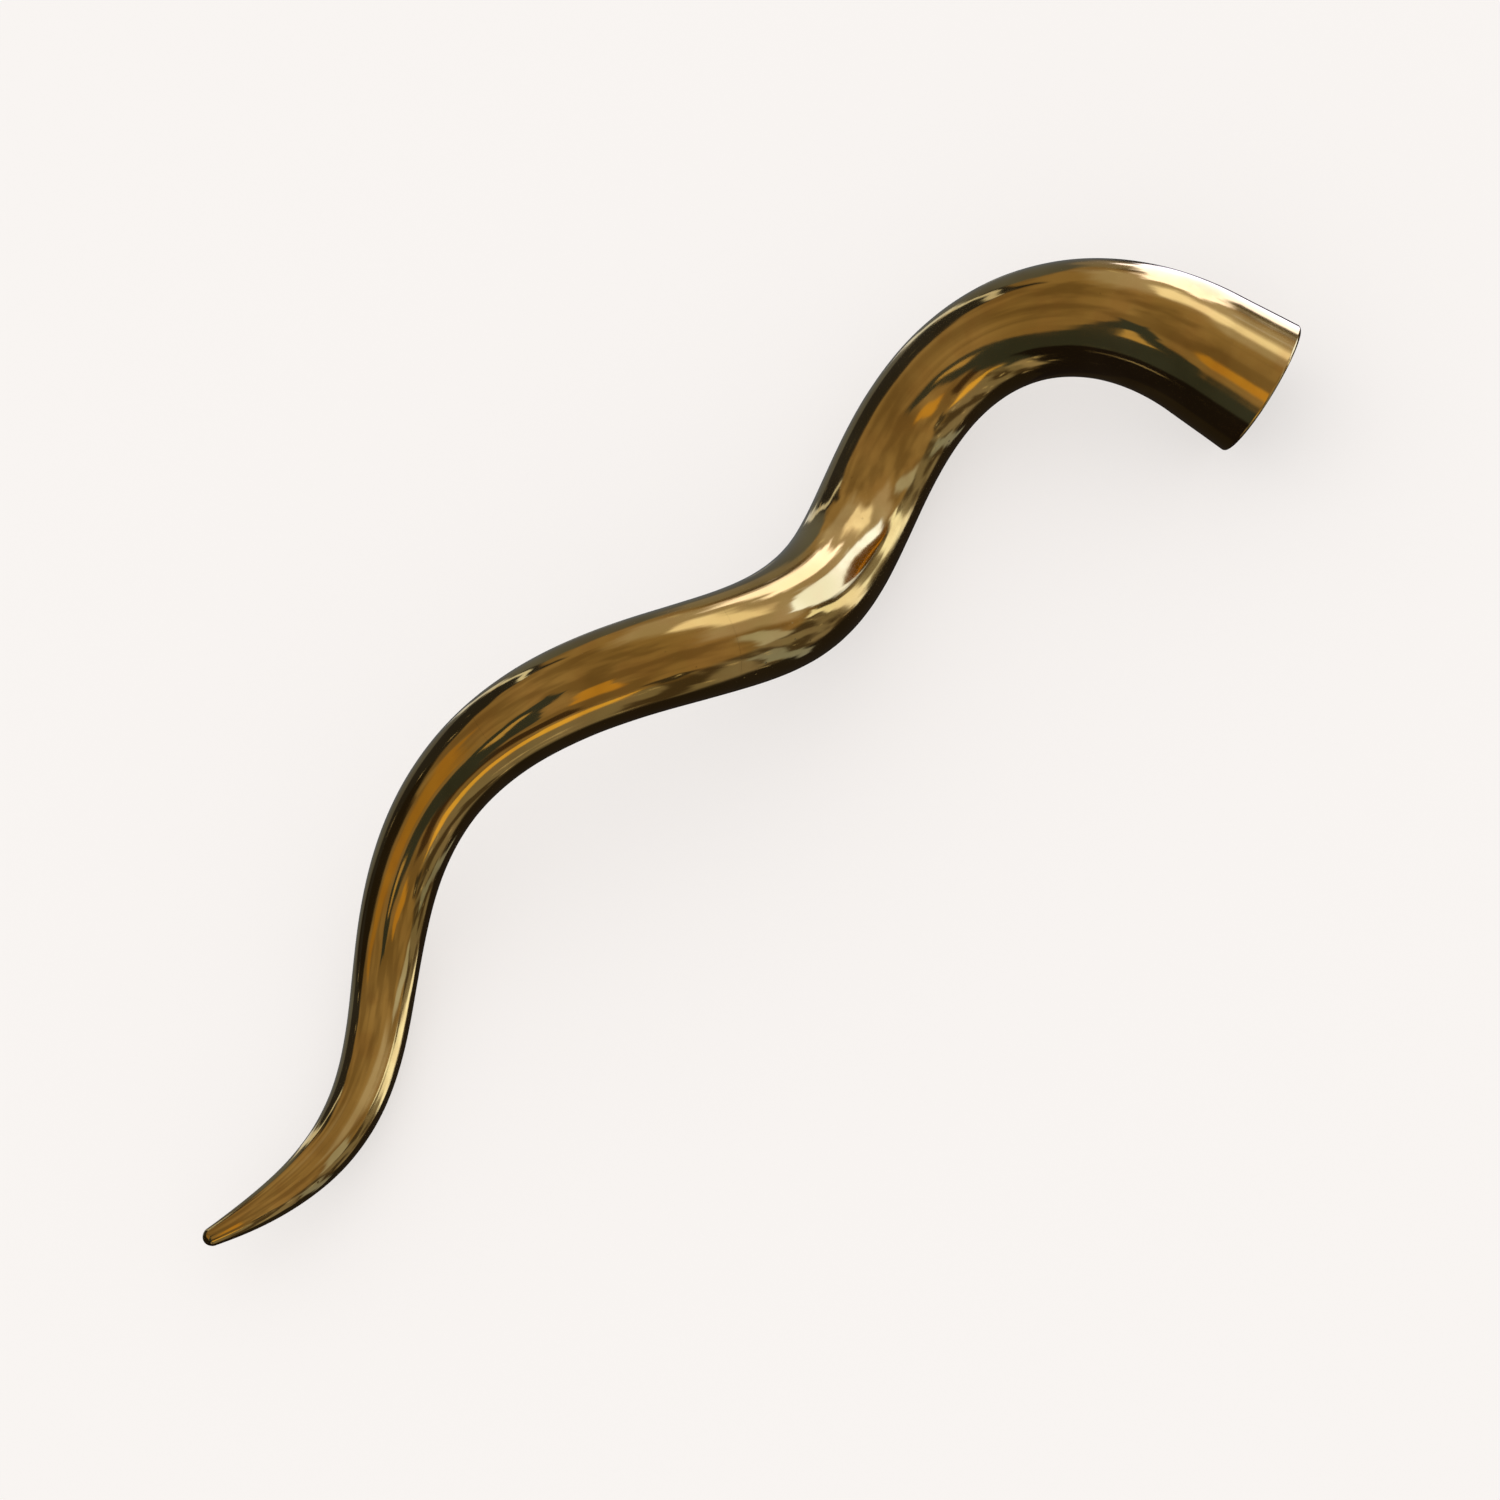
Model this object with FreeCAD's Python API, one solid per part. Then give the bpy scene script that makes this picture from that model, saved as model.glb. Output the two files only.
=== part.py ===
import FreeCAD, Part
import math
import os

# Brass horn in the form of a spiral shofar, lying on its side. Millimetres and degrees.
#
# The horn is a round, hollow taper that coils about a bowed axis and runs out straight at the
# bell. It is cast in short bends. Each pair of neighbours meets face to face on a flat cut across
# the horn, and a sleeve inside the bore lines the two up and backs the brazing. The solid tip has
# a spigot of its own. +Z is up, the lowest points of the horn touch Z = 0, +X runs from the tip
# to the bell, and the origin is below the middle of the whole object.

# Line of the horn, from the tip to the mouth
AXIS_LENGTH = 702.0          # length of the bowed axis that the horn coils about
AXIS_BEND = -59.3            # turn of that axis over its length
COIL_TURNS = 2.014
COIL_START = 51.7            # place of the tip about the axis
COIL_EASING = 0.074          # how much slower the coil turns at the tip than at the bell
COIL_RADIUS_TIP = 49.5
COIL_RADIUS_MIDDLE = 23.5
COIL_RADIUS_BELL = 60.0
BELL_RUN = 34.0              # straight stretch before the mouth

# Outside diameter: (share of the horn's length, diameter)
TAPER = (
    (0.000, 8.6),
    (0.029, 15.4),
    (0.060, 20.8),
    (0.112, 27.2),
    (0.167, 31.4),
    (0.245, 36.0),
    (0.322, 40.6),
    (0.400, 47.6),
    (0.475, 51.3),
    (0.540, 53.0),
    (0.591, 55.2),
    (0.650, 54.0),
    (0.739, 54.2),
    (0.830, 57.4),
    (0.895, 63.6),
    (0.950, 70.0),
    (1.000, 76.4),
)

# Walls
WALL = 3.0
LIP_ROUNDING_OUTSIDE = 1.8
LIP_ROUNDING_INSIDE = 0.6
TIP_ROUNDING = 4.4           # length of the rounded end

# Joints
SLEEVE_LENGTH = 20.0
SLEEVE_WALL = 1.6
SPIGOT_LENGTH = 12.0
SPIGOT_CLEARANCE = 0.05      # filled by the brazing

# Cuts between the castings, as shares of the horn's length
CUTS = (0.060, 0.215, 0.385, 0.530, 0.645, 0.755, 0.890)
CASTINGS = (
    "tip_casting",
    "tail_casting",
    "lower_bend_casting",
    "lower_leg_casting",
    "elbow_casting",
    "upper_leg_casting",
    "arch_casting",
    "bell_casting",
)
SLEEVES = (
    "tail_sleeve",
    "lower_bend_sleeve",
    "lower_leg_sleeve",
    "elbow_sleeve",
    "upper_leg_sleeve",
    "bell_sleeve",
)

# How the horn lies: the coil's own axes turned about X, then Y, then Z
LIE_ROLL = 63.76
LIE_PITCH = -0.55
LIE_YAW = -21.44

# Fineness of the surfaces
LINE_STEPS = 160             # points that the line is drawn through
RING_POLES = 16              # control points around a surface
RING_DEGREE = 3              # cubic around the horn
RING_SPACING = 8.0           # greatest distance between the rings of a surface
RING_GAP = 0.05              # rings closer than this are one
ROUNDING_STEPS = 6           # rings in a rounded end or edge
BOX_STEPS = 400              # places where the horn's reach is measured
SEWING_TOLERANCE = 0.001


def coil_point(share):
    """Point of the coil at a share of its axis, in the coil's own axes."""
    bend = math.radians(AXIS_BEND)
    turned = bend * (share - 0.5)
    arc_radius = AXIS_LENGTH / bend
    on_axis = FreeCAD.Vector(arc_radius * math.sin(turned), arc_radius * (1 - math.cos(turned)), 0)
    outward = FreeCAD.Vector(-math.sin(turned), math.cos(turned), 0)
    upward = FreeCAD.Vector(0, 0, 1)
    straight = COIL_RADIUS_TIP + (COIL_RADIUS_BELL - COIL_RADIUS_TIP) * share
    dip = COIL_RADIUS_MIDDLE - (COIL_RADIUS_TIP + COIL_RADIUS_BELL) / 2
    radius = straight + 4 * dip * share * (1 - share)
    eased = (1 - COIL_EASING) * share + COIL_EASING * share * share
    angle = math.radians(COIL_START) + 2 * math.pi * COIL_TURNS * eased
    return on_axis + outward * (radius * math.cos(angle)) + upward * (radius * math.sin(angle))


def line_points():
    """Points along the middle of the horn, from the tip to the mouth."""
    lie = FreeCAD.Rotation(LIE_YAW, LIE_PITCH, LIE_ROLL)
    points = [lie.multVec(coil_point(step / LINE_STEPS)) for step in range(LINE_STEPS + 1)]
    spacing = (points[-1] - points[-2]).Length
    heading = (points[-1] - points[-2]).normalize()
    run_steps = math.ceil(BELL_RUN / spacing)
    for step in range(run_steps):
        points.append(points[-1] + heading * (BELL_RUN / run_steps))
    return points


def spline_through(points):
    line = Part.BSplineCurve()
    line.interpolate(points)
    return line


def taper_curve():
    """Curve whose height at a share of the length is the outside diameter there."""
    shares = [share for share, diameter in TAPER]
    points = [FreeCAD.Vector(share, diameter, 0) for share, diameter in TAPER]
    curve = Part.BSplineCurve()
    curve.interpolate(Points=points, Parameters=shares)
    return curve


DIAMETERS = taper_curve()
LINE = spline_through(line_points())
HORN_LENGTH = LINE.length()
CUT_DISTANCES = [share * HORN_LENGTH for share in CUTS]
TIP_START = TIP_ROUNDING * (1 - math.cos(math.pi / 2 / ROUNDING_STEPS))


def taper_radius(distance):
    share = min(max(distance / HORN_LENGTH, 0), 1)
    return DIAMETERS.value(share).y / 2


def drawn_in(depth, rounding):
    """How far a rounded edge lies inside its wall at a depth below its face."""
    missing = max(rounding - max(depth, 0), 0)
    return rounding - math.sqrt(rounding * rounding - missing * missing)


def outside_radius(distance):
    radius = taper_radius(distance) - drawn_in(HORN_LENGTH - distance, LIP_ROUNDING_OUTSIDE)
    missing = max(1 - distance / TIP_ROUNDING, 0)
    return radius * math.sqrt(1 - missing * missing)


def bore_radius(distance):
    return taper_radius(distance) - WALL + drawn_in(HORN_LENGTH - distance, LIP_ROUNDING_INSIDE)


def sleeve_radius(distance):
    return bore_radius(distance) - SLEEVE_WALL


def spigot_radius(distance):
    return bore_radius(distance) - SPIGOT_CLEARANCE


def place_on_line(distance):
    """Point and heading of the line at a distance from the tip."""
    parameter = LINE.parameterAtDistance(distance, LINE.FirstParameter)
    return LINE.value(parameter), FreeCAD.Vector(*LINE.tangent(parameter)[0])


def centring_shift():
    """Move that centres the horn's box on the origin and brings its lowest point to Z = 0."""
    lows = []
    highs = []
    for step in range(BOX_STEPS + 1):
        distance = HORN_LENGTH * step / BOX_STEPS
        point, heading = place_on_line(distance)
        reach = [outside_radius(distance) * math.sqrt(1 - part * part) for part in heading]
        lows.append(point - FreeCAD.Vector(*reach))
        highs.append(point + FreeCAD.Vector(*reach))
    low = [min(corner[axis] for corner in lows) for axis in range(3)]
    high = [max(corner[axis] for corner in highs) for axis in range(3)]
    return FreeCAD.Vector(-(low[0] + high[0]) / 2, -(low[1] + high[1]) / 2, -low[2])


LINE.translate(centring_shift())


def ring_distances():
    """Where the rings of every surface lie: at each cut and end, and evenly between them."""
    marks = [TIP_START, CUT_DISTANCES[0] + SPIGOT_LENGTH, HORN_LENGTH] + CUT_DISTANCES
    for cut in CUT_DISTANCES[1:]:
        marks += [cut - SLEEVE_LENGTH / 2, cut + SLEEVE_LENGTH / 2]
    for step in range(2, ROUNDING_STEPS + 1):    # the first step of the tip is TIP_START
        depth = 1 - math.cos(math.pi / 2 * step / ROUNDING_STEPS)
        marks.append(TIP_ROUNDING * depth)
        marks.append(HORN_LENGTH - LIP_ROUNDING_OUTSIDE * depth)
        marks.append(HORN_LENGTH - LIP_ROUNDING_INSIDE * depth)
    marks.sort()
    distances = [marks[0]]
    for start, end in zip(marks[:-1], marks[1:]):
        steps = math.ceil((end - start) / RING_SPACING)
        if end - start > RING_GAP:
            distances += [start + (end - start) * step / steps for step in range(1, steps + 1)]
    return distances


def ring_frames(distances):
    """Middle of each ring and two directions across it, carried along without twist."""
    frames = []
    side = FreeCAD.Vector(0, 0, 1)
    for distance in distances:
        point, heading = place_on_line(distance)
        side = (side - heading * side.dot(heading)).normalize()
        frames.append((point, side, heading.cross(side)))
    return frames


RINGS = ring_distances()
FRAMES = ring_frames(RINGS)


def tube_surface(radius_at):
    """Smooth surface along the horn: V is the distance from the tip, and U runs around."""
    step = 2 * math.pi / RING_POLES
    # A closed cubic through equal steps lies inside its control points by this much
    pole_factor = 3 / (2 + math.cos(step))
    columns = []
    for number in range(RING_POLES):
        rail = []
        for distance, (point, side, other) in zip(RINGS, FRAMES):
            reach = radius_at(distance) * pole_factor
            across = side * math.cos(number * step) + other * math.sin(number * step)
            rail.append(point + across * reach)
        curve = Part.BSplineCurve()
        curve.interpolate(Points=rail, Parameters=RINGS)
        columns.append(curve)
    first = columns[0]
    surface = Part.BSplineSurface()
    surface.buildFromPolesMultsKnots(
        [column.getPoles() for column in columns],
        [1] * (RING_POLES + 1),
        first.getMultiplicities(),
        list(range(RING_POLES + 1)),
        first.getKnots(),
        True,
        False,
        RING_DEGREE,
        first.Degree,
    )
    return surface


def wall_face(surface, start, end):
    return surface.toShape(0, RING_POLES, start, end)


def ring_wire(surface, distance):
    return Part.Wire(surface.vIso(distance).toShape())


def flat_ring(outer, inner, distance):
    """Flat face across the horn between two surfaces."""
    wires = [ring_wire(outer, distance), ring_wire(inner, distance)]
    return Part.makeFace(wires, "Part::FaceMakerBullseye")


def flat_disc(surface, distance):
    return Part.Face(ring_wire(surface, distance))


def solid_of(faces):
    """Closed solid sewn from its faces."""
    shell = Part.Shell(faces)
    shell.sewShape(SEWING_TOLERANCE)
    solid = Part.Solid(shell)
    if solid.Volume < 0:
        solid.reverse()
    return solid


def make_tube(outer, inner, start, end):
    """Hollow length of the horn between two flat cuts."""
    return solid_of([
        wall_face(outer, start, end),
        wall_face(inner, start, end),
        flat_ring(outer, inner, start),
        flat_ring(outer, inner, end),
    ])


def make_tip(outside, spigot, cut):
    """Solid tip with a rounded end, and a spigot that fills the next casting's bore."""
    spigot_end = cut + SPIGOT_LENGTH
    return solid_of([
        flat_disc(outside, TIP_START),
        wall_face(outside, TIP_START, cut),
        flat_ring(outside, spigot, cut),
        wall_face(spigot, cut, spigot_end),
        flat_disc(spigot, spigot_end),
    ])


def make_castings():
    """The castings, from the solid tip to the bell."""
    outside = tube_surface(outside_radius)
    bore = tube_surface(bore_radius)
    spigot = tube_surface(spigot_radius)
    ends = CUT_DISTANCES + [HORN_LENGTH]
    castings = [make_tip(outside, spigot, ends[0])]
    castings += [make_tube(outside, bore, start, end) for start, end in zip(ends[:-1], ends[1:])]
    return castings


def make_sleeves():
    """Short tubes that fit the bore's wall, one across each cut between hollow castings."""
    bore = tube_surface(bore_radius)
    opening = tube_surface(sleeve_radius)
    half = SLEEVE_LENGTH / 2
    return [make_tube(bore, opening, cut - half, cut + half) for cut in CUT_DISTANCES[1:]]


def main():
    os.makedirs("parts", exist_ok=True)
    names = CASTINGS + SLEEVES
    for name, solid in zip(names, make_castings() + make_sleeves()):
        print(name, solid.isValid(), len(solid.Solids), round(solid.Volume), solid.BoundBox)
        solid.exportStep("parts/" + name + ".step")
    print("length of the line", round(HORN_LENGTH, 1))


main()
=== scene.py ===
# %% [markdown]
# # A polished brass horn
# The horn is a spiral taper of brass, cast in short bends that are brazed end to end and polished
# until the joints can't be seen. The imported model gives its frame: where each casting lies and how
# large it is. This lesson gives each casting a smooth surface and the finish of polished brass.

# %% Load the frame
import bisect
import math

import bmesh
import bpy
import numpy as np
from mathutils import Euler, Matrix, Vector
from mathutils.kdtree import KDTree


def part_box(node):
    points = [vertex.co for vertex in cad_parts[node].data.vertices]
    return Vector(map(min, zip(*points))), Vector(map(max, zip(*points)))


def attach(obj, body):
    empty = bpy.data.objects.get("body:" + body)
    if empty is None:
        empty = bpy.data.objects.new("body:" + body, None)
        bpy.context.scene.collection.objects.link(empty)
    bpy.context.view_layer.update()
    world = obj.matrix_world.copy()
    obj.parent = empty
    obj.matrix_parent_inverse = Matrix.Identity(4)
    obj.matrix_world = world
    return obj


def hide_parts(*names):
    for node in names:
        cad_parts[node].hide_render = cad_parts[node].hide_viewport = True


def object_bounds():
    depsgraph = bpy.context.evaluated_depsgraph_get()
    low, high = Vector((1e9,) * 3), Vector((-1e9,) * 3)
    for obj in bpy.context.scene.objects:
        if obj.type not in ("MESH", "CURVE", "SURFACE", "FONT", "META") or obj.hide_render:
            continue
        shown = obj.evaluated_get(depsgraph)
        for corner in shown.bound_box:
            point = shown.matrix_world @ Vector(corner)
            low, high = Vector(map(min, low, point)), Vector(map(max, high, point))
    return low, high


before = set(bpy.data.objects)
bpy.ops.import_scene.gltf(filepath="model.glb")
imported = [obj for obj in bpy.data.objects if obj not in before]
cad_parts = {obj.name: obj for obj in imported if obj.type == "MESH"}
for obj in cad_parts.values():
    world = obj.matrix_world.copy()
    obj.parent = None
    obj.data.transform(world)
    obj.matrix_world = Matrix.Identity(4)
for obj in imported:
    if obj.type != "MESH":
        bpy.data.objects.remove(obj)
cad_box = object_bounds()
print("CAD box", cad_box)

# %% [markdown]
# ## The camera
# The horn lies on its side, and the camera looks down on it steeply. A long lens keeps the far end
# from shrinking. The camera's distance from the middle follows from how wide the view has to be.

# %% Camera
CAMERA_TURN = Euler([math.radians(angle) for angle in (25.36, 9.68, -63.10)])
VIEW_WIDTH = 0.7777          # metres across the picture at the horn
VIEW_MIDDLE = Vector((0.0066, 0.0011, 0.0627))
LENS = 600.0
SENSOR = 36.0

bpy.ops.object.camera_add(rotation=CAMERA_TURN)
camera = bpy.context.object
camera.name = "camera"
camera.data.lens = LENS
camera.data.sensor_width = SENSOR
camera_back = CAMERA_TURN.to_matrix() @ Vector((0, 0, 1))
camera_distance = VIEW_WIDTH * LENS / SENSOR
camera.location = VIEW_MIDDLE + camera_back * camera_distance
bpy.context.scene.camera = camera
print("camera", camera_distance, "m away")

# %% [markdown]
# ## The line of the horn
# A spiral horn is hard to push and pull into shape by eye, and easy to say as a rule: a coil about
# an axis that is itself bowed, ending in a straight run at the bell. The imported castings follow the
# same few numbers, so a point on this line is a point in the middle of the real bore.

# %% Line of the horn, in metres
AXIS_LENGTH = 0.702
AXIS_BEND = math.radians(-59.3)
COIL_TURNS = 2.014
COIL_START = math.radians(51.7)
COIL_EASING = 0.074
COIL_RADIUS_TIP = 0.0495
COIL_RADIUS_MIDDLE = 0.0235
COIL_RADIUS_BELL = 0.060
BELL_RUN = 0.034
LIE = [math.radians(angle) for angle in (63.76, -0.55, -21.44)]
LINE_STEPS = 1600
BELL_RUN_STEPS = 60


def coil_point(share):
    turned = AXIS_BEND * (share - 0.5)
    arc_radius = AXIS_LENGTH / AXIS_BEND
    on_axis = Vector((arc_radius * math.sin(turned), arc_radius * (1 - math.cos(turned)), 0))
    outward = Vector((-math.sin(turned), math.cos(turned), 0))
    straight = COIL_RADIUS_TIP + (COIL_RADIUS_BELL - COIL_RADIUS_TIP) * share
    dip = COIL_RADIUS_MIDDLE - (COIL_RADIUS_TIP + COIL_RADIUS_BELL) / 2
    radius = straight + 4 * dip * share * (1 - share)
    eased = (1 - COIL_EASING) * share + COIL_EASING * share * share
    angle = COIL_START + 2 * math.pi * COIL_TURNS * eased
    return on_axis + outward * radius * math.cos(angle) + Vector((0, 0, radius * math.sin(angle)))


def horn_line():
    lie = Euler(LIE).to_matrix()
    points = [lie @ coil_point(step / LINE_STEPS) for step in range(LINE_STEPS + 1)]
    heading = (points[-1] - points[-2]).normalized()
    for _ in range(BELL_RUN_STEPS):
        points.append(points[-1] + heading * (BELL_RUN / BELL_RUN_STEPS))
    return points


line = horn_line()
reached = [0.0]
for before, after in zip(line, line[1:]):
    reached.append(reached[-1] + (after - before).length)
HORN_LENGTH = reached[-1]
print("length of the line", round(HORN_LENGTH, 4), "m")

# %% Taper, as outside diameters at shares of the length
TAPER = (
    (0.000, 0.0086), (0.029, 0.0154), (0.060, 0.0208), (0.112, 0.0272), (0.167, 0.0314),
    (0.245, 0.0360), (0.322, 0.0406), (0.400, 0.0476), (0.475, 0.0513), (0.540, 0.0530),
    (0.591, 0.0552), (0.650, 0.0540), (0.739, 0.0542), (0.830, 0.0574), (0.895, 0.0636),
    (0.950, 0.0700), (1.000, 0.0764),
)
WALL = 0.003
LIP_ROUNDING_OUTSIDE = 0.0018
LIP_ROUNDING_INSIDE = 0.0006
TIP_ROUNDING = 0.0044
SPIGOT_CLEARANCE = 0.00005


def spline_slopes(xs, ys):
    """Slopes of the smoothest cubic through the points."""
    count = len(xs)
    system = np.zeros((count, count))
    right = np.zeros(count)
    system[0, :2] = (2, 1)
    right[0] = 3 * (ys[1] - ys[0]) / (xs[1] - xs[0])
    system[-1, -2:] = (1, 2)
    right[-1] = 3 * (ys[-1] - ys[-2]) / (xs[-1] - xs[-2])
    for place in range(1, count - 1):
        left_gap = xs[place] - xs[place - 1]
        right_gap = xs[place + 1] - xs[place]
        system[place, place - 1:place + 2] = (1 / left_gap, 2 / left_gap + 2 / right_gap, 1 / right_gap)
        left_rise = (ys[place] - ys[place - 1]) / left_gap ** 2
        right_rise = (ys[place + 1] - ys[place]) / right_gap ** 2
        right[place] = 3 * (left_rise + right_rise)
    return np.linalg.solve(system, right)


taper_shares = [share for share, _ in TAPER]
taper_diameters = [diameter for _, diameter in TAPER]
taper_slopes = spline_slopes(taper_shares, taper_diameters).tolist()


def taper_radius(distance):
    share = min(max(distance / HORN_LENGTH, 0), 1)
    place = min(bisect.bisect_right(taper_shares, share), len(TAPER) - 1) - 1
    gap = taper_shares[place + 1] - taper_shares[place]
    part = (share - taper_shares[place]) / gap
    before, after = taper_diameters[place:place + 2]
    slope_before, slope_after = taper_slopes[place] * gap, taper_slopes[place + 1] * gap
    rise = after - before
    diameter = before + part * (slope_before + part * (
        3 * rise - 2 * slope_before - slope_after + part * (slope_before + slope_after - 2 * rise)))
    return diameter / 2


def drawn_in(depth, rounding):
    """How far a rounded edge lies inside its wall at a depth below its face."""
    missing = max(rounding - max(depth, 0), 0)
    return rounding - math.sqrt(rounding * rounding - missing * missing)


def outside_radius(distance):
    radius = taper_radius(distance) - drawn_in(HORN_LENGTH - distance, LIP_ROUNDING_OUTSIDE)
    missing = max(1 - distance / TIP_ROUNDING, 0)
    return radius * math.sqrt(1 - missing * missing)


def bore_radius(distance):
    return taper_radius(distance) - WALL + drawn_in(HORN_LENGTH - distance, LIP_ROUNDING_INSIDE)


def spigot_radius(distance):
    return bore_radius(distance) - SPIGOT_CLEARANCE


def raw_place(distance):
    """Point and heading of the line at a distance from the tip."""
    step = min(max(bisect.bisect_right(reached, distance) - 1, 0), len(line) - 2)
    part = (distance - reached[step]) / (reached[step + 1] - reached[step])
    point = line[step].lerp(line[step + 1], part)
    low, high = max(step - 1, 0), min(step + 2, len(line) - 1)
    return point, (line[high] - line[low]).normalized()


BOX_STEPS = 800              # places along the line where the tube's box is measured


def shift_into_frame():
    """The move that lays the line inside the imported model's own box."""
    lows, highs = [], []
    for step in range(BOX_STEPS + 1):
        distance = HORN_LENGTH * step / BOX_STEPS
        point, heading = raw_place(distance)
        reach = Vector([outside_radius(distance) * math.sqrt(max(1 - part * part, 0)) for part in heading])
        lows.append(point - reach)
        highs.append(point + reach)
    low = Vector([min(corner[axis] for corner in lows) for axis in range(3)])
    high = Vector([max(corner[axis] for corner in highs) for axis in range(3)])
    cad_middle = (Vector(cad_box[0]) + Vector(cad_box[1])) / 2
    print("size of the line's tube", high - low, "CAD", Vector(cad_box[1]) - Vector(cad_box[0]))
    return cad_middle - (low + high) / 2


shift = shift_into_frame()


def place_on_line(distance):
    point, heading = raw_place(distance)
    return point + shift, heading


# %% [markdown]
# ## Tubes along the line
# A curve with a round bevel is the quickest way to a smooth tapered tube: its points carry the
# radius, and converting it to a mesh leaves clean rings of quads. A poly curve passes through every
# point, so two neighbours meet without a step. Each casting takes one tube for the outside and one
# for the bore, bridged at both ends. Both walls follow the same line, so the brass has its real
# thickness everywhere.

# %% Points of a tube
POINT_SPACING = 0.001        # greatest distance between two rings of the tube
ROUNDING_STEPS = 12
HOLDING_RING = 0.0002        # distance of the last ring but one from a cut
SAME_PLACE = HOLDING_RING / 10


def point_places(start, end):
    """Where a tube's points lie: evenly, and closer together in the rounded tip and lip."""
    spans = math.ceil((end - start) / POINT_SPACING)
    places = [start + (end - start) * span / spans for span in range(spans + 1)]
    places += [start + HOLDING_RING, end - HOLDING_RING]
    for step in range(1, ROUNDING_STEPS + 1):
        depth = 1 - math.cos(math.pi / 2 * step / ROUNDING_STEPS)
        places.append(TIP_ROUNDING * depth)
        places.append(HORN_LENGTH - LIP_ROUNDING_OUTSIDE * depth)
        places.append(HORN_LENGTH - LIP_ROUNDING_INSIDE * depth)
    inside = sorted(place for place in places if start < place < end)
    kept = [start]
    for place in inside:
        if place - kept[-1] > SAME_PLACE and end - place > SAME_PLACE:
            kept.append(place)
    return kept + [end]


# %% Tube
BEVEL_RESOLUTION = 32        # 68 faces around the horn


def add_tube(name, start, end, radius_at):
    """Mesh tube along the line, open at both ends."""
    bpy.ops.object.select_all(action="DESELECT")
    bpy.ops.curve.primitive_nurbs_path_add(location=(0, 0, 0))
    curve = bpy.context.object.data
    curve.splines.clear()
    places = point_places(start, end)
    spline = curve.splines.new("POLY")
    spline.points.add(len(places) - 1)
    for point, place in zip(spline.points, places):
        point.co = (*place_on_line(place)[0], 1)
        point.radius = radius_at(place)
    curve.twist_mode = "MINIMUM"
    curve.bevel_mode = "ROUND"
    curve.bevel_depth = 1
    curve.bevel_resolution = BEVEL_RESOLUTION
    curve.use_fill_caps = False
    bpy.ops.object.convert(target="MESH")
    tube = bpy.context.object
    tube.name = name
    tube.data.name = name
    return tube


# %% [markdown]
# ## Marks of the hand
# A horn that is filed and buffed by hand is never quite true, and a mirror finish shows it: straight
# reflections come back wavy. A Displace modifier with a cloud texture moves the outside in and out by
# a tenth of a millimetre. It is applied while the tube is still open, so that two neighbours are
# moved alike at their joint.

# %% Hand-finished outside
WAVE_SIZE = 0.034
WAVE_HEIGHT = 0.00022        # from the deepest hollow to the highest ridge
SAME_POINT = 0.000001
waves = bpy.data.textures.new("hand_filed_waves", "CLOUDS")
waves.noise_scale = WAVE_SIZE
waves.noise_depth = 1
print("waves of", WAVE_HEIGHT * 1000, "mm every", WAVE_SIZE * 1000, "mm")


def merge_and_displace(tube):
    bpy.ops.object.select_all(action="DESELECT")
    tube.select_set(True)
    bpy.context.view_layer.objects.active = tube
    bpy.ops.object.mode_set(mode="EDIT")
    bpy.ops.mesh.select_all(action="SELECT")
    bpy.ops.mesh.remove_doubles(threshold=SAME_POINT)
    bpy.ops.object.mode_set(mode="OBJECT")
    displace = tube.modifiers.new("waves", "DISPLACE")
    displace.texture = waves
    displace.texture_coords = "LOCAL"
    displace.strength = WAVE_HEIGHT
    bpy.ops.object.modifier_apply(modifier=displace.name)


# %% [markdown]
# ## From two tubes to one casting
# The outside and the bore become one mesh, and the open loops at each end are bridged into the flat
# face where the next casting is brazed on. The tip is solid, so it has no bore: its wide end steps
# down to a short spigot, which is closed by a face.

# %% Bridge and close
def select_open_edges(mesh, point, reach):
    """Edit-mode selection of the open edges near a point."""
    bpy.ops.mesh.select_mode(type="EDGE")
    bpy.ops.mesh.select_all(action="DESELECT")
    shape = bmesh.from_edit_mesh(mesh)
    for edge in shape.edges:
        middle = (edge.verts[0].co + edge.verts[1].co) / 2
        edge.select_set(edge.is_boundary and (middle - point).length < reach)
    bmesh.update_edit_mesh(mesh)


def join_tubes(name, tubes):
    bpy.ops.object.select_all(action="DESELECT")
    for tube in tubes:
        tube.select_set(True)
    bpy.context.view_layer.objects.active = tubes[0]
    bpy.ops.object.join()
    piece = bpy.context.object
    piece.name = name
    piece.data.name = name
    return piece


def turn_inside_out(tube):
    bpy.context.view_layer.objects.active = tube
    bpy.ops.object.mode_set(mode="EDIT")
    bpy.ops.mesh.select_all(action="SELECT")
    bpy.ops.mesh.flip_normals()
    bpy.ops.object.mode_set(mode="OBJECT")


SMOOTH_ANGLE = math.radians(35)
CUBIC_MM = 1e9               # in a cubic metre


def finish_surface(piece):
    bpy.ops.object.select_all(action="DESELECT")
    piece.select_set(True)
    bpy.context.view_layer.objects.active = piece
    bpy.ops.object.shade_smooth_by_angle(angle=SMOOTH_ANGLE)


def measure(piece):
    """Prints a closed piece's triangles and volume."""
    shape = bmesh.new()
    shape.from_mesh(piece.data)
    open_edges = sum(not edge.is_manifold for edge in shape.edges)
    corners = sum(len(face.verts) - 2 for face in shape.faces)
    volume = shape.calc_volume(signed=True) * CUBIC_MM
    shape.free()
    print(piece.name, corners, "triangles", open_edges, "open edges", round(volume), "mm3")


# %% Castings
CUTS = (0.060, 0.215, 0.385, 0.530, 0.645, 0.755, 0.890)
SPIGOT_LENGTH = 0.012
SPIGOT_END_RIM = 0.001
cut_places = [cut * HORN_LENGTH for cut in CUTS] + [HORN_LENGTH]
HOLLOW_CASTINGS = ("tail", "lower_bend", "lower_leg", "elbow", "upper_leg", "arch", "bell")


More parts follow.
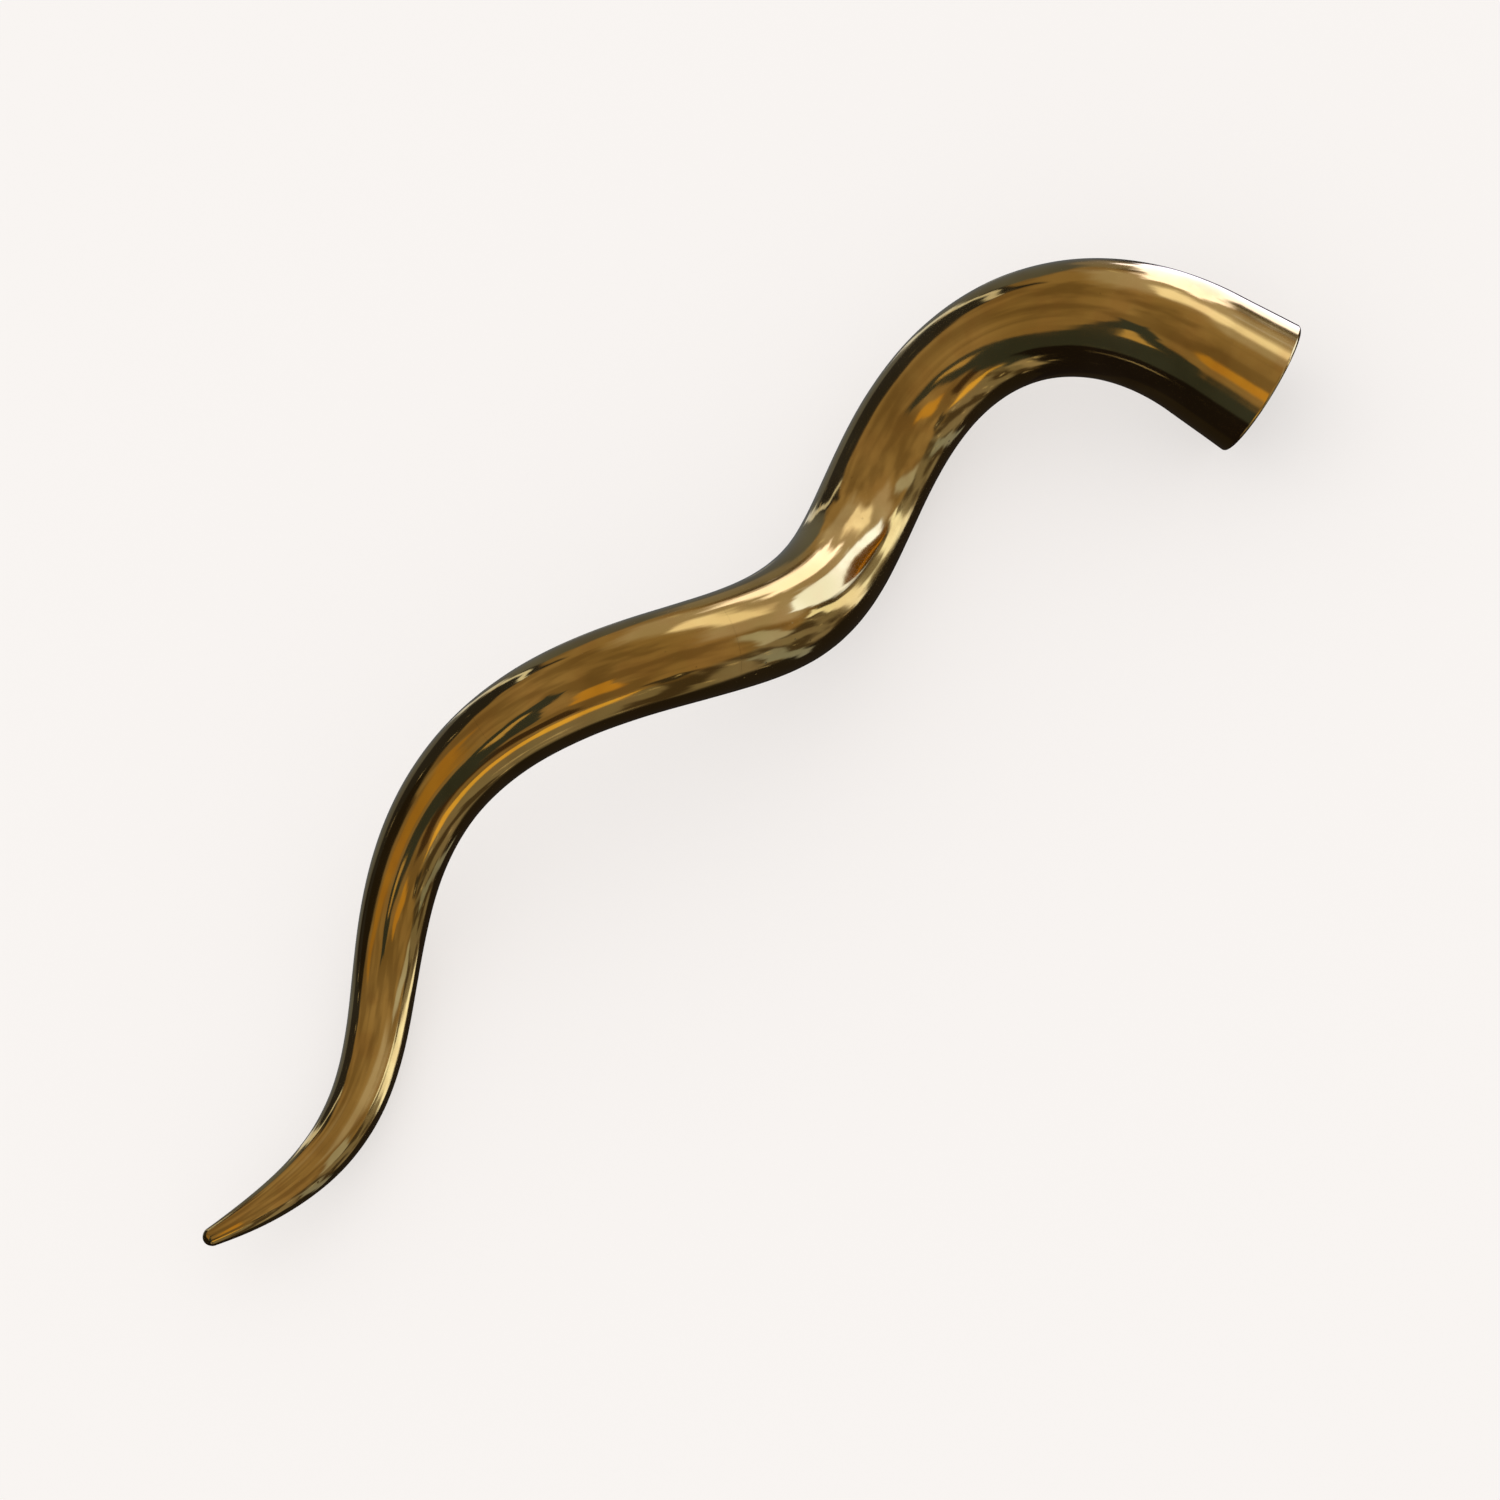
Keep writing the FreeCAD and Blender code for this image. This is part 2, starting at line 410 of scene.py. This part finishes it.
def add_hollow_casting(name, start, end):
    outside = add_tube(name + "_outside", start, end, outside_radius)
    merge_and_displace(outside)
    bore = add_tube(name + "_bore", start, end, bore_radius)
    turn_inside_out(bore)
    piece = join_tubes(name + "_brass", (outside, bore))
    bpy.ops.object.mode_set(mode="EDIT")
    for place in (start, end):
        select_open_edges(piece.data, place_on_line(place)[0], 2 * outside_radius(place))
        bpy.ops.mesh.bridge_edge_loops()
    bpy.ops.object.mode_set(mode="OBJECT")
    finish_surface(piece)
    return piece


def add_tip_casting(cut):
    outside = add_tube("tip_outside", 0, cut, outside_radius)
    merge_and_displace(outside)
    spigot = add_tube("tip_spigot", cut, cut + SPIGOT_LENGTH, spigot_radius)
    piece = join_tubes("tip_brass", (outside, spigot))
    bpy.ops.object.mode_set(mode="EDIT")
    select_open_edges(piece.data, place_on_line(cut)[0], SPIGOT_LENGTH)
    bpy.ops.mesh.bridge_edge_loops()
    select_open_edges(piece.data, place_on_line(cut + SPIGOT_LENGTH)[0], SPIGOT_LENGTH)
    bpy.ops.mesh.edge_face_add()
    bpy.ops.mesh.inset(thickness=SPIGOT_END_RIM)
    bpy.ops.object.mode_set(mode="OBJECT")
    finish_surface(piece)
    return piece


castings = [add_tip_casting(cut_places[0])]
for name, start, end in zip(HOLLOW_CASTINGS, cut_places, cut_places[1:]):
    castings.append(add_hollow_casting(name, start, end))
for casting in castings:
    node = casting.name.replace("_brass", "_casting")
    corners = np.array([list(corner) for corner in casting.bound_box])
    low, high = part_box(node)
    measure(casting)
    offsets = np.concatenate([corners.min(0) - low, corners.max(0) - high])
    print("  off", node, "by", np.abs(offsets).max().round(5))
    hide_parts(node)
    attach(casting, "root")

# %% [markdown]
# ## A straight map of a bent horn
# Polishing marks follow the horn, so their pattern needs coordinates that do too. Each vertex keeps
# where it would lie if the horn were pulled straight: how far along, and where across. A shader can
# then stretch a noise along the horn, whichever way the horn turns.

# %% Unrolled places
line_tree = KDTree(len(line))
for step, point in enumerate(line):
    line_tree.insert(point + shift, step)
line_tree.balance()
sides = []
side = Vector((0, 0, 1))
for distance in reached:
    heading = raw_place(distance)[1]
    side = (side - heading * side.dot(heading)).normalized()
    sides.append((heading, side, heading.cross(side)))


def add_unrolled(piece):
    places = []
    for vertex in piece.data.vertices:
        _, step, _ = line_tree.find(vertex.co)
        offset = vertex.co - line[step] - shift
        heading, side, other = sides[step]
        places += [reached[step] + offset.dot(heading), offset.dot(side), offset.dot(other)]
    attribute = piece.data.attributes.new("unrolled", "FLOAT_VECTOR", "POINT")
    attribute.data.foreach_set("vector", places)


for casting in castings:
    add_unrolled(casting)

# %% [markdown]
# ## Shader maths
# Node trees are easier to read as sums. A wrapped socket takes part in Python arithmetic, and each
# operator adds the Math node that does it. Every other kind of node comes from one method.

# %% Sockets that can be added up
class Value:
    """An output socket that takes part in sums."""

    def __init__(self, graph, socket):
        self.graph = graph
        self.socket = socket

    def __add__(self, other):
        return self.graph.math("ADD", self, other)

    def __sub__(self, other):
        return self.graph.math("SUBTRACT", self, other)

    def __rsub__(self, other):
        return self.graph.math("SUBTRACT", other, self)

    def __mul__(self, other):
        return self.graph.math("MULTIPLY", self, other)

    __radd__ = __add__
    __rmul__ = __mul__


class Graph:
    """A node tree that is filled from Python."""

    def __init__(self, tree):
        self.tree = tree
        tree.nodes.clear()

    def node(self, kind, settings=None, inputs=None, output=0):
        """Adds a node, makes its settings, fills its sockets, and gives one output or several."""
        made = self.tree.nodes.new(kind)
        for name, value in (settings or {}).items():
            setattr(made, name, value)
        for name, value in (inputs or {}).items():
            if isinstance(value, Value):
                self.tree.links.new(value.socket, made.inputs[name])
            else:
                made.inputs[name].default_value = value
        if isinstance(output, tuple):
            return [Value(self, made.outputs[name]) for name in output]
        return Value(self, made.outputs[output]) if len(made.outputs) else made

    def math(self, operation, *values):
        return self.node("ShaderNodeMath", {"operation": operation}, dict(enumerate(values)))

    def step(self, value, low, high):
        """Smooth step from 0 at low to 1 at high."""
        inputs = {"Value": value, "From Min": low, "From Max": high}
        return self.node("ShaderNodeMapRange", {"interpolation_type": "SMOOTHSTEP"}, inputs)

    def mix(self, share, first, second):
        """Colour between two colours."""
        inputs = {0: share, 6: first, 7: second}
        return self.node("ShaderNodeMix", {"data_type": "RGBA"}, inputs, 2)

    def scaled(self, vector, factors):
        return self.node("ShaderNodeVectorMath", {"operation": "MULTIPLY"}, {0: vector, 1: factors})

    def noise(self, vector, scale, detail=2.0):
        return self.node("ShaderNodeTexNoise", None, {"Vector": vector, "Scale": scale, "Detail": detail})

    def bump(self, height, distance, strength, below=None):
        inputs = {"Height": height, "Distance": distance, "Strength": strength}
        if below is not None:
            inputs["Normal"] = below
        return self.node("ShaderNodeBump", None, inputs)


def new_material(name):
    material = bpy.data.materials.new(name)
    material.use_nodes = True
    return material, Graph(material.node_tree)


def finish_material(graph, shader):
    graph.node("ShaderNodeOutputMaterial", None, {"Surface": shader})


# %% [markdown]
# ## Polished brass
# Brass is a metal, so all of its colour is in its reflection: Metallic is 1 and Base Color is the
# colour of the gloss. The buffing wheel leaves haze in long faint strokes, fingers and air leave
# warmer spots, and a few pits of the casting survive the file. Darker brown blotches in the colour
# are partly tarnish and partly a painted dark reflection.

# %% Polished brass
BRASS_LIGHT = (0.75, 0.515, 0.195, 1)
BRASS_DEEP = (0.58, 0.380, 0.120, 1)
BRASS_RED = (0.60, 0.335, 0.110, 1)
# Darker brown, partly tarnish and partly a painted dark reflection.
PAINTED_REFLECTION_AND_TARNISH = (0.40, 0.245, 0.075, 1)
PIT_COLOUR = (0.10, 0.06, 0.02, 1)

# How many of each mark lie along a metre.
CLOUDS = 14.0
HAZES = 9.0
PATCHES = 23.0
MOTTLES = 58.0
RIPPLES = 55.0
PITS = 150.0
PITTED_PLACES = 31.0
STROKES = (9.0, 260.0, 260.0)              # along the horn, and twice across it
FINE_STROKES = (30.0, 1500.0, 1500.0)

# How high each mark stands, in metres.
RIPPLE_HEIGHT = 0.00010
FINE_STROKE_HEIGHT = 0.00001
PIT_DEPTH = 0.00015


def make_polished_brass():
    material, graph = new_material("polished_brass")
    place = graph.node("ShaderNodeTexCoord", output="Object")
    unrolled = graph.node("ShaderNodeAttribute", {"attribute_name": "unrolled"}, output="Vector")
    clouds = graph.step(graph.noise(place, CLOUDS, 3.0), 0.36, 0.66)
    # Where the darker brown goes: partly tarnish, partly a painted dark reflection.
    painted_reflection_and_tarnish = graph.step(graph.noise(place, PATCHES, 4.0), 0.52, 0.74)
    strokes = graph.noise(graph.scaled(unrolled, STROKES), 1.0, 3.0)
    fine_strokes = graph.noise(graph.scaled(unrolled, FINE_STROKES), 1.0, 2.0)
    mottle = graph.step(graph.noise(place, MOTTLES, 4.0), 0.42, 0.66)
    colour = graph.mix(clouds, BRASS_DEEP, BRASS_LIGHT)
    colour = graph.mix(mottle * 0.35, colour, BRASS_RED)
    # Darker brown blotches, partly tarnish and partly a painted dark reflection; buffing strokes darken
    # faintly.
    colour = graph.mix(painted_reflection_and_tarnish * 0.5 + graph.step(strokes, 0.55, 0.8) * 0.06, colour, PAINTED_REFLECTION_AND_TARNISH)
    pits = graph.node("ShaderNodeTexVoronoi", None, {"Vector": place, "Scale": PITS}, "Distance")
    pit = (1 - graph.step(pits, 0.05, 0.12)) * graph.step(graph.noise(place, PITTED_PLACES), 0.60, 0.68)
    colour = graph.mix(pit * 0.7, colour, PIT_COLOUR)
    haze = graph.step(graph.noise(place, HAZES, 3.0), 0.35, 0.75)
    roughness = 0.05 + haze * 0.06 + mottle * 0.02 + graph.step(strokes, 0.45, 0.85) * 0.05 + pit * 0.3
    ripple = graph.bump(graph.noise(place, RIPPLES, 2.0), RIPPLE_HEIGHT, 0.6)
    stroked = graph.bump(fine_strokes, FINE_STROKE_HEIGHT, 0.35, ripple)
    normal = graph.bump(1 - pit, PIT_DEPTH, 0.5, stroked)
    inputs = {
        "Base Color": colour,
        "Metallic": 1.0,
        "Roughness": roughness,
        "Normal": normal,
        "Coat Weight": 0.25,
        "Coat Roughness": 0.06,
    }
    finish_material(graph, graph.node("ShaderNodeBsdfPrincipled", None, inputs))
    return material


# %% [markdown]
# ## Raw brass
# Nobody polishes the inside of a horn. The bore and the sleeves keep the dull, darkened skin that
# brass has after casting and brazing: rougher, browner, with a grainy surface.

# %% Raw brass
RAW_LIGHT = (0.40, 0.27, 0.11, 1)
RAW_DARK = (0.20, 0.125, 0.055, 1)
RAW_RIDGES = (0.50, 0.36, 0.16, 1)
SKIN = 60.0                  # marks along a metre
STAINS = 18.0
GRAINS = 420.0
SKIN_HEIGHT = 0.0006         # metres
GRAIN_HEIGHT = 0.0002


def make_raw_brass():
    material, graph = new_material("raw_brass")
    place = graph.node("ShaderNodeTexCoord", output="Object")
    skin = graph.noise(place, SKIN, 5.0)
    stains = graph.step(graph.noise(place, STAINS, 3.0), 0.40, 0.68)
    colour = graph.mix(stains, RAW_LIGHT, RAW_DARK)
    colour = graph.mix(graph.step(skin, 0.5, 0.75) * 0.4, colour, RAW_RIDGES)
    grain = graph.bump(graph.noise(place, GRAINS, 3.0), GRAIN_HEIGHT, 0.6)
    inputs = {
        "Base Color": colour,
        "Metallic": 1.0,
        "Roughness": 0.42 + skin * 0.25,
        "Normal": graph.bump(skin, SKIN_HEIGHT, 0.5, grain),
    }
    finish_material(graph, graph.node("ShaderNodeBsdfPrincipled", None, inputs))
    return material


# %% Finishes on the pieces
polished_brass = make_polished_brass()
raw_brass = make_raw_brass()
for material in (polished_brass, raw_brass):
    print(material.name, len(material.node_tree.nodes), "nodes")


LOOKS_INWARD = -0.5          # greatest cosine between an inner face and the way out


def is_bore(face):
    """True for a face of the inner wall, which looks towards the line of the horn."""
    _, step, _ = line_tree.find(face.center)
    outward = face.center - line[step] - shift
    return outward.normalized().dot(face.normal) < LOOKS_INWARD


for casting in castings:
    casting.data.materials.clear()
    casting.data.materials.append(polished_brass)
    casting.data.materials.append(raw_brass)
    inner_faces = 0
    for face in casting.data.polygons:
        face.material_index = int(is_bore(face))
        inner_faces += face.material_index
    print(casting.name, inner_faces, "faces of raw brass")
for name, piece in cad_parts.items():
    if name.endswith("_sleeve"):
        piece.data.materials.clear()
        piece.data.materials.append(raw_brass)

# %% [markdown]
# ## Floor and light
# The floor is plain and pale, and glows a little, so that the horn's shadow on it stays faint. A
# mirror shows the room it stands in, so polished brass needs one. An image of a room would do, but a
# room made of a few soft-edged panes can be read and changed: a warm ceiling, two daylight windows,
# darker walls with light and dark panes, and darkness below. Rays that leave the brass see that room,
# while the floor is lit by an even white sky.

# %% Floor
FLOOR_SIZE = 60.0
FLOOR_DROP = 0.0003          # keeps the waves of the horn's underside above the floor
FLOOR_COLOUR = (0.330, 0.318, 0.309, 1)
FLOOR_GLOW = (0.611, 0.589, 0.573, 1)

bpy.ops.mesh.primitive_plane_add(size=FLOOR_SIZE, location=(0, 0, -FLOOR_DROP))
floor = bpy.context.object
floor.name = "floor"
floor_material, floor_graph = new_material("pale_floor")
floor_inputs = {
    "Base Color": FLOOR_COLOUR,
    "Roughness": 1.0,
    "Specular IOR Level": 0.0,
    "Emission Color": FLOOR_GLOW,
    "Emission Strength": 1.0,
}
finish_material(floor_graph, floor_graph.node("ShaderNodeBsdfPrincipled", None, floor_inputs))
floor.data.materials.append(floor_material)
floor.visible_glossy = False

# %% Studio
CEILING = (0.365, 0.280, 0.155, 1)
CEILING_DEEP = (0.230, 0.170, 0.088, 1)
WALL_LIGHT = (0.27, 0.26, 0.22, 1)
WALL_DARK = (0.080, 0.066, 0.045, 1)
BELOW = (0.022, 0.019, 0.016, 1)
GLINT = (0.62, 0.60, 0.50, 1)
SKY = (1.018, 1.018, 1.018, 1)
BACKDROP = (0.947, 0.913, 0.888, 1)

WANDER = 0.40                # radians across which noise moves the edges of the panes
WALL_STREAKS = (4.0, 4.0, 1.3)
DARK_SIDE = 2.25             # azimuth, in radians, where the darkness below reaches highest
DARKNESS_TOP = -0.72         # elevation, in radians, where it ends on the other sides
DARKNESS_RISE = 1.10

# Panes of the room: azimuths, elevations, softness of the edges and slant, then the colour. The first
# three are in degrees, and each pane covers the ones before it.
PANES = (
    ((32, 100), (-60, 10), 6, 0.0, (0.13, 0.15, 0.17, 1)),
    ((58, 106), (-16, 26), 4, 0.25, (0.030, 0.032, 0.038, 1)),
    ((61, 67), (-40, 24), 2, 0.0, (0.80, 0.90, 1.00, 1)),
    ((-64, 40), (4, 54), 12, 0.0, (0.50, 0.47, 0.43, 1)),
    ((-36, 12), (24, 50), 7, 0.0, (1.30, 1.35, 1.45, 1)),
    ((-60, -50), (-42, 6), 2, 0.0, (1.30, 1.50, 1.70, 1)),
    ((-45, -10), (-14, 20), 3, 0.20, (1.50, 2.00, 3.60, 1)),
    ((-2, 23), (-50, 22), 3, 0.20, (2.10, 2.30, 3.40, 1)),
    ((-84, -70), (-2, 30), 4, -0.25, (0.50, 0.56, 0.62, 1)),
    ((-102, -92), (-62, -10), 3, 0.10, (0.30, 0.36, 0.42, 1)),
    ((-122, -106), (2, 16), 3, 0.40, (0.06, 0.055, 0.045, 1)),
    ((-154, -132), (32, 56), 5, -0.20, (0.66, 0.40, 0.075, 1)),
    ((-160, -132), (10, 28), 4, 0.30, (0.060, 0.040, 0.025, 1)),
    ((-158, -130), (-4, 8), 3, -0.90, (1.00, 0.70, 0.15, 1)),
    ((112, 166), (26, 44), 6, 0.0, (0.46, 0.28, 0.06, 1)),
    ((-200, -158), (-12, 70), 3, 0.0, (0.045, 0.060, 0.068, 1)),
    ((168, 200), (-12, 70), 3, 0.0, (0.045, 0.060, 0.068, 1)),
    ((-200, -166), (-95, 12), 3, 0.0, (0.014, 0.012, 0.014, 1)),
    ((160, 200), (-95, 12), 3, 0.0, (0.014, 0.012, 0.014, 1)),
    ((-177, -164), (36, 54), 2, 0.15, (0.60, 0.46, 0.20, 1)),
    ((-172, -158), (-34, -8), 5, 0.0, (0.42, 0.40, 0.36, 1)),
)


def pane_mask(graph, azimuth, elevation, pane):
    """1 inside a slanted pane of the room, 0 outside it."""
    azimuths, elevations, softness, slant, _ = pane
    low, high = [math.radians(angle) for angle in azimuths]
    bottom, top = [math.radians(angle) for angle in elevations]
    soft = math.radians(softness)
    across = azimuth + elevation * slant
    sideways = graph.step(across, low, low + soft) * (1 - graph.step(across, high - soft, high))
    upright = graph.step(elevation, bottom, bottom + soft) * (1 - graph.step(elevation, top - soft, top))
    return sideways * upright


def add_room(graph):
    """Colour of the room in each direction."""
    direction = graph.node("ShaderNodeTexCoord", output="Generated")
    x, y, z = graph.node("ShaderNodeSeparateXYZ", None, {0: direction}, ("X", "Y", "Z"))
    azimuth = graph.math("ARCTAN2", y, x) + (graph.noise(direction, 3.4, 3.0) - 0.5) * WANDER
    elevation = graph.math("ARCSINE", z) + (graph.noise(direction, 2.6, 4.0) - 0.5) * WANDER
    clouds = graph.step(graph.noise(direction, 2.2, 3.0), 0.40, 0.62)
    streaks = graph.step(graph.noise(graph.scaled(direction, WALL_STREAKS), 1.0, 3.0), 0.46, 0.58)
    dark_side = graph.math("COSINE", azimuth - DARK_SIDE)
    edge = graph.step(dark_side, 0.55, 0.85) * DARKNESS_RISE + DARKNESS_TOP
    walls = graph.mix(streaks, WALL_DARK, WALL_LIGHT)
    room = graph.mix(graph.step(elevation - edge, -0.05, 0.10), BELOW, walls)
    ceiling = graph.mix(clouds, CEILING, CEILING_DEEP)
    high_up = graph.step(elevation, -0.02, 0.14) * graph.step(elevation - edge, -0.02, 0.06)
    room = graph.mix(high_up, room, ceiling)
    for pane in PANES:
        room = graph.mix(pane_mask(graph, azimuth, elevation, pane), room, pane[4])
    glints = graph.step(graph.noise(direction, 8.0, 2.0), 0.68, 0.72)
    low_down = graph.step(elevation, -0.9, -0.6) * (1 - graph.step(elevation, 0.25, 0.40))
    return graph.mix(glints * low_down, room, GLINT)


def make_studio():
    world = bpy.data.worlds.new("studio")
    bpy.context.scene.world = world
    world.use_nodes = True
    world.cycles.sampling_method = "NONE"
    graph = Graph(world.node_tree)
    room = add_room(graph)
    camera_ray, glossy_ray = graph.node("ShaderNodeLightPath", output=("Is Camera Ray", "Is Glossy Ray"))
    seen = graph.mix(camera_ray, SKY, BACKDROP)
    seen = graph.mix(glossy_ray, seen, room)
    background = graph.node("ShaderNodeBackground", None, {"Color": seen, "Strength": 1.0})
    graph.node("ShaderNodeOutputWorld", None, {"Surface": background})


make_studio()
bpy.context.scene.view_settings.view_transform = "Standard"
print("studio of", len(PANES), "panes,", len(bpy.context.scene.world.node_tree.nodes), "nodes")
